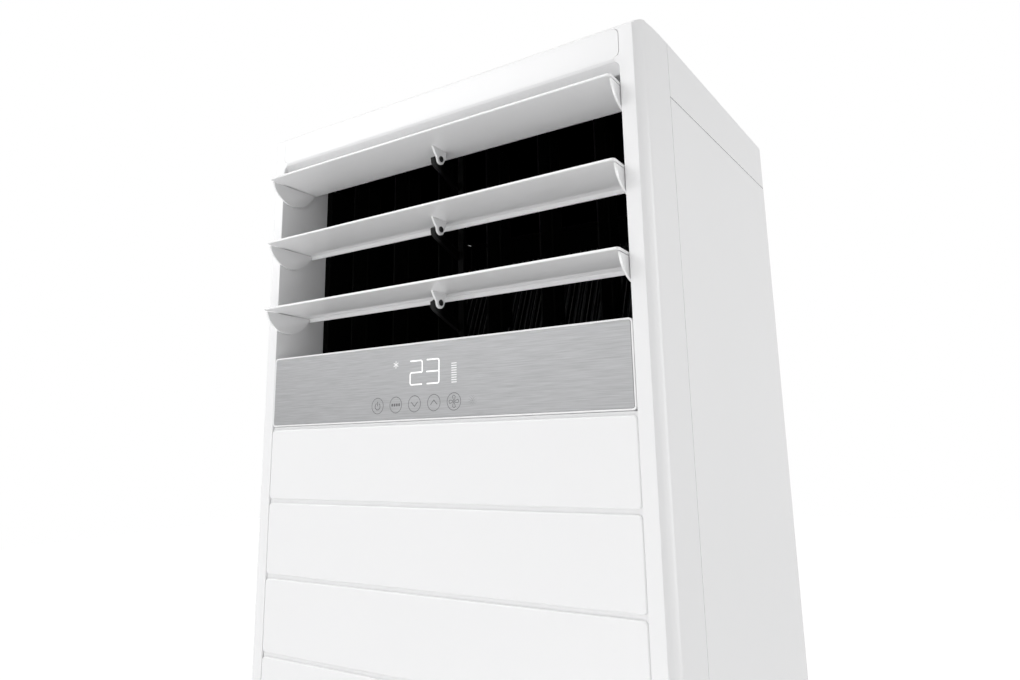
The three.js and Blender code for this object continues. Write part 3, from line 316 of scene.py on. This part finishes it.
WHITE = plastic("white_moulding", (0.87, 0.87, 0.875), rough=0.32, tint=0.006)
WHITE_GLOSS = plastic("white_louver", (0.9, 0.9, 0.905), rough=0.06, spread_rough=0.015, tint=0.006, bump=0.0,
                      shine=0.9)
PAINT = plastic("white_painted_steel", (0.87, 0.87, 0.875), rough=0.38, grain=650, bump=0.2, tint=0.006)
BLACK = plastic("black_plastic", (0.004, 0.004, 0.0045), rough=0.45, grain=900, bump=0.25, tint=0.2,
                shine=0.2)
INNER_BLACK = plastic("black_inner", (0.002, 0.002, 0.002), rough=0.6, grain=900, bump=0.2, tint=0.2,
                      shine=0.03)
ARM_BLACK = front_lit_black()
PIN_BLACK = plastic("black_pin", (0.006, 0.006, 0.006), rough=0.2, grain=900, bump=0.1, tint=0.2)
DARK_GREY = plastic("dark_grey_plastic", (0.035, 0.036, 0.038), rough=0.5, grain=900, bump=0.3, tint=0.15)
GREY = plastic("grey_plastic", (0.22, 0.22, 0.225), rough=0.45, grain=900, bump=0.25, tint=0.08)
COPPER = plastic("copper_tube", (0.72, 0.33, 0.19), rough=0.3, grain=300, bump=0.1, tint=0.12, metal=1.0)
GUARD = plastic("guard_plastic", (0.07, 0.07, 0.07), rough=0.5, grain=900, bump=0.2, tint=0.1, shine=0.3)
BRUSHED = brushed_metal()
STEEL = galvanised_steel()
# the coil fins' colour is darkened to near black as painted shade, standing in for the deep shade inside the
# unit
FINS = ribbed("coil_fins", (0.02, 0.022, 0.024), "Z", 0.0022, 0.6, 0.5)
CLOTH = ribbed("filter_cloth", (0.10, 0.11, 0.12), "X", 0.003, 0.0, 0.7)
BOARD = circuit_board()
DIGIT = glow("display_white", (1.0, 1.0, 1.0), 1.0)
DIM_LIGHT = glow("display_pale", (0.9, 0.9, 0.91), 0.66)
INK = plastic("grey_ink", (0.16, 0.16, 0.165), rough=0.5, bump=0.0, tint=0.05)
PALE_INK = plastic("pale_ink", (0.33, 0.33, 0.34), rough=0.5, bump=0.0, tint=0.05)


# ---------------------------------------------------------------- mesh helpers
def settle(name, bm, mat, body, smooth=32):
    """Turns a bmesh into an object with soft shading that rides on a body."""
    bmesh.ops.recalc_face_normals(bm, faces=bm.faces)
    mesh = bpy.data.meshes.new(name)
    bm.to_mesh(mesh)
    bm.free()
    mesh.polygons.foreach_set("use_smooth", [True] * len(mesh.polygons))
    mesh.set_sharp_from_angle(angle=math.radians(smooth))
    mesh.materials.append(mat)
    obj = bpy.data.objects.new(name, mesh)
    bpy.context.scene.collection.objects.link(obj)
    even = obj.modifiers.new("flat_faces_stay_flat", "WEIGHTED_NORMAL")
    even.weight, even.keep_sharp = 90, True
    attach(obj, body)
    return obj


def refined(node, mat, width=0.5, angle=38, segments=2, smooth=50, soft=None, soft_width=4.0,
            move=None, keep=None, merge=True):
    """A clean copy of a CAD node with small rounded edges, shown in its place.

    Edges for which soft(middle of the edge) holds are rounded more, those for which keep(middle)
    holds stay crisp, and move shifts places. merge joins the flat faces before that.
    """
    source = nodes[node].data
    bm = bmesh.new()
    verts = [bm.verts.new(v.co) for v in source.vertices]
    for face in source.polygons:
        bm.faces.new([verts[i] for i in face.vertices])
    bmesh.ops.remove_doubles(bm, verts=bm.verts, dist=3e-6)
    if merge:
        bmesh.ops.dissolve_limit(bm, angle_limit=math.radians(0.6), verts=bm.verts, edges=bm.edges)
    if move:
        for vert in bm.verts:
            move(vert.co)
    if soft:
        chosen = [e for e in bm.edges if soft((e.verts[0].co + e.verts[1].co) / 2)]
        bmesh.ops.bevel(bm, geom=chosen, offset=soft_width * MM, segments=6, profile=0.5,
                        affect="EDGES", clamp_overlap=False)
    if width:
        sharp = [e for e in bm.edges
                 if len(e.link_faces) == 2 and e.calc_face_angle(0) > math.radians(angle)
                 and not (keep and keep((e.verts[0].co + e.verts[1].co) / 2))]
        bmesh.ops.bevel(bm, geom=sharp, offset=width * MM, segments=segments, profile=0.5,
                        affect="EDGES", clamp_overlap=False)
    obj = settle(node + "_look", bm, mat, body_of[node], smooth)
    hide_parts(node)
    return obj


def rounded(a0, a1, b0, b1, radius, steps=6):
    points = []
    corners = ((a1 - radius, b0 + radius, -90), (a1 - radius, b1 - radius, 0),
               (a0 + radius, b1 - radius, 90), (a0 + radius, b0 + radius, 180))
    for ca, cb, start in corners:
        for k in range(steps + 1):
            t = math.radians(start + 90 * k / steps)
            points.append((ca + radius * math.cos(t), cb + radius * math.sin(t)))
    return points


def skin(bm, loops):
    """Joins rings of places one after the other and caps both ends."""
    rings = [[bm.verts.new(p) for p in loop] for loop in loops]
    count = len(rings[0])
    for near, far in zip(rings, rings[1:]):
        for i in range(count):
            j = (i + 1) % count
            bm.faces.new((near[i], near[j], far[j], far[i]))
    bm.faces.new(rings[0])
    bm.faces.new(list(reversed(rings[-1])))


def pillow(bm, x0, x1, z0, z1, front, back, corner, edge, steps=5):
    """A rounded slab in the X-Z plane whose front rim is rounded over."""
    loops = [[at(x, back, z) for x, z in rounded(x0, x1, z0, z1, corner)]]
    for k in range(steps + 1):
        t = math.radians(90 * k / steps)
        inset = edge * (1 - math.cos(t))
        y = front + edge * (1 - math.sin(t))
        ring = rounded(x0 + inset, x1 - inset, z0 + inset, z1 - inset, max(corner - inset, 0.4))
        loops.append([at(x, y, z) for x, z in ring])
    skin(bm, loops)


def filleted(corners, steps=5):
    """An outline from (a, b, radius) corners, each rounded by an arc of that radius."""
    points = []
    count = len(corners)
    for i, (a, b, radius) in enumerate(corners):
        here = Vector((a, b))
        before = (Vector(corners[i - 1][:2]) - here).normalized()
        after = (Vector(corners[(i + 1) % count][:2]) - here).normalized()
        angle = before.angle(after)
        if radius <= 0 or angle > 3.1:
            points.append((a, b))
            continue
        middle = here + (before + after).normalized() * radius / math.sin(angle / 2)
        start = here + before * radius / math.tan(angle / 2)
        end = here + after * radius / math.tan(angle / 2)
        first = math.atan2(start.y - middle.y, start.x - middle.x)
        turn = math.atan2(end.y - middle.y, end.x - middle.x) - first
        turn = (turn + math.pi) % (2 * math.pi) - math.pi
        for k in range(steps + 1):
            t = first + turn * k / steps
            points.append((middle.x + radius * math.cos(t), middle.y + radius * math.sin(t)))
    return points


def slab(bm, outline, along, start, end, place=at, edge=0.0):
    """Extrudes an outline along "x" (the outline in Y, Z) or along "y" (the outline in X, Z)."""
    put = {"x": lambda p, d: place(d, p[0], p[1]), "y": lambda p, d: place(p[0], d, p[1])}[along]
    near = [bm.verts.new(put(p, start)) for p in outline]
    far = [bm.verts.new(put(p, end)) for p in outline]
    count = len(outline)
    caps = [bm.faces.new(near), bm.faces.new(list(reversed(far)))]
    for i in range(count):
        j = (i + 1) % count
        bm.faces.new((near[j], near[i], far[i], far[j]))
    if edge:
        rims = [e for cap in caps for e in cap.edges]
        bmesh.ops.bevel(bm, geom=rims, offset=edge * MM, segments=3, profile=0.5, affect="EDGES",
                        clamp_overlap=False)


def ribbon(path, wide, steps=6):
    """The outline of a stroke of one width along an open path, with round ends."""
    points = [Vector(p) for p in path]
    half = wide / 2
    left, right = [], []
    for i, p in enumerate(points):
        back = (p - points[i - 1]).normalized() if i else None
        ahead = (points[i + 1] - p).normalized() if i + 1 < len(points) else None
        run = ((back or ahead) + (ahead or back)).normalized()
        square = Vector((-run.y, run.x))
        reach = half / max(0.5, run.dot(ahead or back))
        left.append(p + square * reach)
        right.append(p - square * reach)

    def cap(centre, run):
        start = math.atan2(run.y, run.x) + math.pi / 2
        turns = [start - math.pi * k / steps for k in range(1, steps)]
        return [centre + Vector((math.cos(t), math.sin(t))) * half for t in turns]

    last = (points[-1] - points[-2]).normalized()
    first = (points[0] - points[1]).normalized()
    return [tuple(v) for v in left + cap(points[-1], last) + right[::-1] + cap(points[0], first)]


# ---------------------------------------------------------------- casing
CORNER_BACK = 23.5
# Along the corner's curve, with t from 0 to 1, the distance behind the front is SLOPE * t + BOW * t * t,
# and the three half widths steer how far out it is.
CORNER_SLOPE, CORNER_BOW = 22.1, 1.4
CORNER_WIDTHS = (288.5, 294.19, HALF)
ON_CURVE = 0.4
SWELL = (0, 0.7, 1.6, 1.9, 0)  # at even steps round the corner
# The next two lines are in metres: the edge over the outlet, and the trim strip's seat in the front face.
OUTLET_HALF, LINTEL_LOW, LINTEL_HIGH = 0.266, 1.78, 1.7875
SEAT_HALF, SEAT_DEEP, SEAT_LOW, SEAT_HIGH = 0.27, 0.003, 1.7916, 1.8248
TRIM_HALF, TRIM_LOW, TRIM_HIGH = 271.36, 1791.63, 1824.77
TAPE_HALF, TAPE_LOW, TAPE_HIGH = 292.5, 1764, 1779  # closes the seam of rear panel and top cover
TAPE_FRONT, TAPE_BACK = 475.2, 478.6


def corner_moulding(place):
    """Swells the corner curve a little, so that it turns inward at its crease with the flat side."""
    back = (place.y - FRONT) / MM
    if not 0 < back < CORNER_BACK - 0.05:
        return
    t = (math.sqrt(CORNER_SLOPE ** 2 + 4 * CORNER_BOW * back) - CORNER_SLOPE) / (2 * CORNER_BOW)
    first, pull, last = CORNER_WIDTHS
    curve = first * (1 - t) ** 2 + 2 * pull * t * (1 - t) + last * t * t
    if abs(abs(place.x) / MM - curve) < ON_CURVE:
        step = min(int(t * 4), 3)
        swell = SWELL[step] + (SWELL[step + 1] - SWELL[step]) * (t * 4 - step)
        place.x += math.copysign(swell * MM, place.x)


def line_inside(panel_sheet):
    """Dark insulation on the faces that look into the cabinet or down."""
    panel_sheet.data.materials.append(INNER_BLACK)
    for face in panel_sheet.data.polygons:
        middle, normal = face.center, face.normal
        inward = normal.x * middle.x + normal.y * middle.y < 0 or normal.z < -0.5
        face.material_index = 1 if inward else 0


def casing():
    """The corner of the casing keeps a fine crease where its curve meets the flat side."""
    def over_outlet(middle):
        return (abs(middle.y - FRONT) < 1e-5 and abs(middle.x) < OUTLET_HALF and
                LINTEL_LOW < middle.z < LINTEL_HIGH)

    def trim_seat(middle):
        return (middle.y - FRONT < SEAT_DEEP and abs(middle.x) < SEAT_HALF and
                (abs(middle.z - SEAT_LOW) < 5e-4 or abs(middle.z - SEAT_HIGH) < 8e-4))

    shell = refined("front_frame", WHITE, 0.7, soft=over_outlet, move=corner_moulding, keep=trim_seat,
                    merge=False)
    points = shell.data.vertices
    for edge in shell.data.edges:
        ends = [points[i].co for i in edge.vertices]
        if all(abs(abs(p.x) - HALF * MM) < 2e-4 and abs(p.y - FRONT - CORNER_BACK * MM) < 4e-4 for p in ends):
            edge.use_edge_sharp = True
    bm = bmesh.new()
    pillow(bm, -TRIM_HALF, TRIM_HALF, TRIM_LOW, TRIM_HIGH, -0.04, 0.9, 6.4, 0.12)
    trim = settle("trim_strip", bm, WHITE, body_of["top_trim"])
    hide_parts("top_trim")
    line_inside(refined("side_panel_left", PAINT, 0.3))
    line_inside(refined("side_panel_right", PAINT, 0.3))
    line_inside(refined("top_cover", PAINT, 0.5))
    line_inside(refined("rear_panel", STEEL, 0.3))
    bm = bmesh.new()
    slab(bm, [(-TAPE_HALF, TAPE_LOW), (TAPE_HALF, TAPE_LOW), (TAPE_HALF, TAPE_HIGH), (-TAPE_HALF, TAPE_HIGH)],
         "y", TAPE_FRONT, TAPE_BACK)
    settle("cover_foam_tape", bm, INNER_BLACK, body_of["rear_panel"])
    refined("plinth", WHITE, 0.5)
    refined("base_pan", STEEL, 0.4)


def bands():
    front_body = body_of["front_panel"]
    bm = bmesh.new()
    for i in range(4):
        top = BAND_TOP - BAND_PITCH * i
        pillow(bm, -INSERT, INSERT, top - BAND_TALL, top, 0, 4.4, 5, 2.0)
    low = BAND_TOP - BAND_PITCH * 3 - BAND_TALL
    pillow(bm, -INSERT, INSERT, low, PANEL_BOTTOM - 0.4, 3, 6, 1.0, 0.3)
    panel = settle("front_bands", bm, WHITE, front_body)
    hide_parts("front_panel")
    refined("intake_grille", WHITE, 0.5, merge=False)


# ---------------------------------------------------------------- control panel
PRINT_Y = -0.06  # prints and lit marks stand this far in front of the metal face
KEY_Z = 1431.0
KEY_X = [-76.4, -46.5, -16.7, 13.1, 42.9, 69.4]
KEY_RING = 9.5
DIGIT_LOW, DIGIT_MIDDLE, DIGIT_HIGH = 1453.7, 1468.0, 1482.0


def ring_of(bm, x, z, radius, wide, steps=40):
    outer, inner = [], []
    for k in range(steps):
        t = 2 * math.pi * k / steps
        outer.append(bm.verts.new(at(x + (radius + wide / 2) * math.cos(t), PRINT_Y,
                                     z + (radius + wide / 2) * math.sin(t))))
        inner.append(bm.verts.new(at(x + (radius - wide / 2) * math.cos(t), PRINT_Y,
                                     z + (radius - wide / 2) * math.sin(t))))
    for k in range(steps):
        j = (k + 1) % steps
        bm.faces.new((outer[k], outer[j], inner[j], inner[k]))


def stroke(bm, path, wide):
    slab(bm, ribbon(path, wide), "y", PRINT_Y, 0.3)


def bend(points, radius=2.6):
    """A path whose inner corners are rounded."""
    path = [points[0]]
    for before, here, after in zip(points, points[1:], points[2:]):
        b, h, a = Vector(before), Vector(here), Vector(after)
        start, end = h + (b - h).normalized() * radius, h + (a - h).normalized() * radius
        for k in range(5):
            t = k / 4
            path.append(tuple(start.lerp(h, t).lerp(h.lerp(end, t), t)))
    path.append(points[-1])
    return path


def digits():
    bm = bmesh.new()
    wide = 1.6
    for left, right, turns in ((-23.9, -5.0, "two"), (1.9, 20.8, "three")):
        stroke(bm, bend([(left + 0.8, DIGIT_HIGH), (right, DIGIT_HIGH), (right, DIGIT_MIDDLE + 0.6)]), wide)
        if turns == "two":
            stroke(bm, bend([(right - 0.8, DIGIT_MIDDLE), (left, DIGIT_MIDDLE), (left, DIGIT_LOW),
                             (right - 0.8, DIGIT_LOW)]), wide)
        else:
            stroke(bm, [(left, DIGIT_MIDDLE), (right - 1.6, DIGIT_MIDDLE)], wide)
            stroke(bm, bend([(right, DIGIT_MIDDLE - 0.6), (right, DIGIT_LOW), (left + 0.8, DIGIT_LOW)]), wide)
    settle("display_digits", bm, DIGIT, body_of["panel_face"])
    bm = bmesh.new()
    for k in range(9):
        z = 1453.2 + 2.73 * k
        slab(bm, rounded(39.2, 47.0, z - 0.6, z + 0.6, 0.3, 2), "y", PRINT_Y, 0.3)
    for k in range(3):
        t = math.radians(90 + 60 * k)
        arm = Vector((math.cos(t), math.sin(t)))
        centre = Vector((-46.9, 1479.5))
        stroke(bm, [tuple(centre - arm * 4.0), tuple(centre + arm * 4.0)], 1.15)
    settle("display_marks", bm, DIM_LIGHT, body_of["panel_face"])


def keys():
    bm = bmesh.new()
    for x in KEY_X[:5]:
        ring_of(bm, x, KEY_Z, KEY_RING + (0.4 if x == KEY_X[4] else 0), 0.75)
    power, mode, down, up, fan, light = KEY_X
    gap_arc = [(power + 4.1 * math.cos(math.radians(a)), KEY_Z - 0.6 + 4.1 * math.sin(math.radians(a)))
               for a in range(125, 416, 15)]
    stroke(bm, gap_arc, 1.0)
    stroke(bm, [(power, KEY_Z + 0.2), (power, KEY_Z + 4.9)], 1.0)
    for k in range(4):
        x = mode - 5.6 + 3.7 * k
        slab(bm, rounded(x - 1.3, x + 1.3, KEY_Z - 1.7, KEY_Z + 1.7, 0.6, 3), "y", PRINT_Y, 0.3)
    stroke(bm, [(down - 4.8, KEY_Z + 1.9), (down, KEY_Z - 3.0), (down + 4.8, KEY_Z + 1.9)], 0.95)
    stroke(bm, [(up - 4.8, KEY_Z - 1.9), (up, KEY_Z + 3.0), (up + 4.8, KEY_Z - 1.9)], 0.95)
    for k in range(4):
        turn = math.pi / 2 * k
        blade = []
        for r, a in ((0.8, 0), (3.2, 22), (6.4, 20), (7.2, 0), (6.2, -18), (3.0, -26)):
            t = turn + math.radians(a)
            blade.append((fan + r * math.cos(t), KEY_Z + r * math.sin(t)))
        stroke(bm, blade + blade[:1], 0.7)
    settle("key_prints", bm, INK, body_of["panel_face"])
    bm = bmesh.new()
    for count, radius, size in ((1, 0.0, 1.1), (6, 2.3, 0.7), (10, 3.9, 0.55), (12, 5.6, 0.4)):
        for k in range(count):
            t = 2 * math.pi * (k + 0.5 * (count > 6)) / count
            x, z = light + radius * math.cos(t), KEY_Z + radius * math.sin(t)
            dot = [(x + size * math.cos(u), z + size * math.sin(u)) for u in (0, 1.05, 2.1, 3.14, 4.19, 5.24)]
            slab(bm, dot, "y", PRINT_Y, 0.3)
    settle("light_dots", bm, PALE_INK, body_of["panel_face"])


def panel():
    refined("panel_bezel", WHITE, 0.7)
    refined("panel_face", BRUSHED, 0.25)
    digits()
    keys()
    nodes["display_board"].data.materials.clear()
    nodes["display_board"].data.materials.append(BLACK)


# ---------------------------------------------------------------- louvers
LOUVER_HALF = 270.5
PIVOT_Y = 26.6
PIVOT_Z = {"top": 1743.5, "middle": 1649.1, "bottom": 1554.7}
BLADE_FRONT, BLADE_BACK = -51.1, 30.0
BLADE_THICK, LIP = 3.2, 5.0
SEAM = 0.45  # between an end cap and the blade it hangs from


def underside(y):
    return 13 - y * 3.2 / 81.1


def blade_section(front, lip):
    """Round nose, flat underside, lip turned down in a cove at the rear, flat top."""
    low = underside(BLADE_BACK)
    rear = [(BLADE_BACK + 0.6, low, 0.5)]
    if lip:
        rear = [(BLADE_BACK - 2.6, low, 2.5), (BLADE_BACK - 1.2, low - lip, 0.4),
                (BLADE_BACK + 0.6, low - lip, 0.5)]
    return filleted([(front, underside(front), 1.2), *rear, (BLADE_BACK + 1, low + 1, 0.6),
                     (BLADE_BACK - 1.5, low + 3, 1.5), (front, underside(front) + BLADE_THICK, 1.7)])


def louver(which):
    body = body_of["louver_" + which]
    z0 = PIVOT_Z[which]
    place = lambda x, y, z: at(x, PIVOT_Y + y, z0 + z)
    bm = bmesh.new()
    loops = []
    corner = 3.5
    stations = [-90 + 15 * k for k in range(7)] + [15 * k for k in range(7)]
    for k, angle in enumerate(stations):
        t = math.radians(angle)
        x = math.copysign(LOUVER_HALF - corner * (1 - abs(math.sin(t))), -1 if k < 7 else 1)
        ring = blade_section(BLADE_FRONT + corner * (1 - math.cos(t)), 0 if which == "top" else LIP)
        loops.append([place(x, y, z) for y, z in ring])
    skin(bm, loops)
    blade = settle("blade_" + which, bm, WHITE_GLOSS, body, 35)
    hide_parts("louver_" + which)

    chord_front, chord_back, drop = BLADE_FRONT + 4.5, BLADE_BACK - 1.6, 28.0
    half_chord = (chord_back - chord_front) / 2
    radius = (half_chord ** 2 + drop ** 2) / (2 * drop)
    swing = math.asin(half_chord / radius)
    middle_y, top = (chord_front + chord_back) / 2, 13.6
    moon = []
    for k in range(25):
        t = -math.pi / 2 - swing + 2 * swing * k / 24
        y, z = middle_y + radius * math.cos(t), top - drop + radius + radius * math.sin(t)
        moon.append((y, min(z, underside(y) - SEAM)))
    tongue = [(chord_front + 4, 8), (chord_back - 4, 8), (chord_back - 4, 12.6), (chord_front + 4, 12.6)]
    bm = bmesh.new()
    for side in (-1, 1):
        ends = sorted((side * LOUVER_HALF, side * (LOUVER_HALF - 2.5)))
        slab(bm, moon, "x", *ends, place, 0.35)
        slab(bm, tongue, "x", ends[0] + 0.8, ends[1] - 0.8, place)
    settle("end_caps_" + which, bm, WHITE_GLOSS, body, 35)

    bm = bmesh.new()
    eye = 7.0
    outline = [(-16.5, 13.8), (-11.5, 5.5)]
    for k in range(13):
        t = math.radians(165 + 180 * k / 12)
        outline.append((-0.4 + eye * math.cos(t), -0.3 + eye * math.sin(t)))
    outline += [(9.5, 6), (12, 13.4)]
    slab(bm, outline, "x", -1.5, 1.5, place, 0.5)
    settle("bracket_" + which, bm, WHITE_GLOSS, body, 35)
    bm = bmesh.new()
    ring = [(4 * math.cos(2 * math.pi * k / 20), 4 * math.sin(2 * math.pi * k / 20)) for k in range(20)]
    slab(bm, ring, "x", -1.9, 2.6, place, 0.6)
    settle("bracket_pin_" + which, bm, PIN_BLACK, body_of["louver_support"], 35)


def louvers():
    for which in PIVOT_Z:
        louver(which)
    refined("louver_support", ARM_BLACK, 0.8)


def coil_guard():
    """Round wires in front of the coil, leaning with it, and two cross wires that carry them."""
    lean = math.radians(21)
    low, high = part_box("coil_guard")
    foot = Vector((0, low.y / MM + 3, low.z / MM))
    run = Vector((0, math.sin(lean), math.cos(lean)))
    reach = (high.z - low.z) / MM / math.cos(lean) + 20
    front = Vector((0, -math.cos(lean), math.sin(lean)))
    bm = bmesh.new()

    def wire(start, end, radius, across, sides=6):
        loops = []
        for end_place in (start, end):
            loops.append([(end_place + (across * math.cos(t) + front * math.sin(t)) * radius) * MM
                          for t in (2 * math.pi * k / sides for k in range(sides))])
        skin(bm, loops)

    half = high.x / MM
    gaps, pitch = 43, 10.6
    for k in range(gaps + 1):
        x = (k - gaps / 2) * pitch
        base = foot + Vector((x, 0, 0))
        wire(base, base + run * reach, 1.0, Vector((1, 0, 0)))
    for share in (0.01, 0.99):
        base = foot + run * reach * share - front * 1.6
        wire(base + Vector((-half, 0, 0)), base + Vector((half, 0, 0)), 1.2, run)
    guard = settle("guard_wires", bm, GUARD, body_of["coil_guard"])
    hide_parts("coil_guard")


def carried_over():
    """Pieces whose CAD shape is already right take a finish only."""
    finishes = {
        BLACK: ["terminal_block", "cable_gland", "catch_magnet_left", "catch_magnet_right"],
        INNER_BLACK: ["outlet_throat", "vane_tie_bar"] + ["vane_%d" % i for i in range(1, 7)],
        DARK_GREY: ["blower_wheel", "fan_motor", "vane_motor", "louver_motor"],
        GREY: ["louver_link", "drain_pan", "drain_hose", "filter_frame", "blower_scroll", "bell_mouth"],
        CLOTH: ["filter_left", "filter_right"],
        COPPER: ["coil_end_left", "coil_end_right", "gas_pipe", "liquid_pipe"],
        FINS: ["evaporator_fins"],
        BOARD: ["main_board"],
        STEEL: ["divider_shelf", "motor_bracket", "blower_stand",
                "inner_plate", "control_box", "control_box_lid", "wall_bracket"],
    }
    for mat, names in finishes.items():
        for name in names:
            nodes[name].data.materials.clear()
            nodes[name].data.materials.append(mat)


camera()
stage()
world()
area("key", (-1.4, -1.6, 2.9), (-0.1, 0, 1.7), (1.8, 1.8), 25)
area("front", (0.3, -3.0, 1.0), (0, 0, 1.6), (2.4, 1.0), 5.5)
area("low_front", (0.6, -1.3, 1.3), (0.05, 0.33, 1.6), (0.5, 0.3), 0.16)
area("side", (2.8, 1.8, 1.6), (0.2, 0.2, 1.4), (2.2, 2.8), 42)
area("low", (0.1, -1.5, 0.08), (0, -0.75, 1.7), (2.2, 1.4), 20)
area("top", (-0.2, -0.8, 3.8), (0, 0, 1.8), (1.8, 1.2), 12)
casing()
bands()
panel()
louvers()
coil_guard()
carried_over()
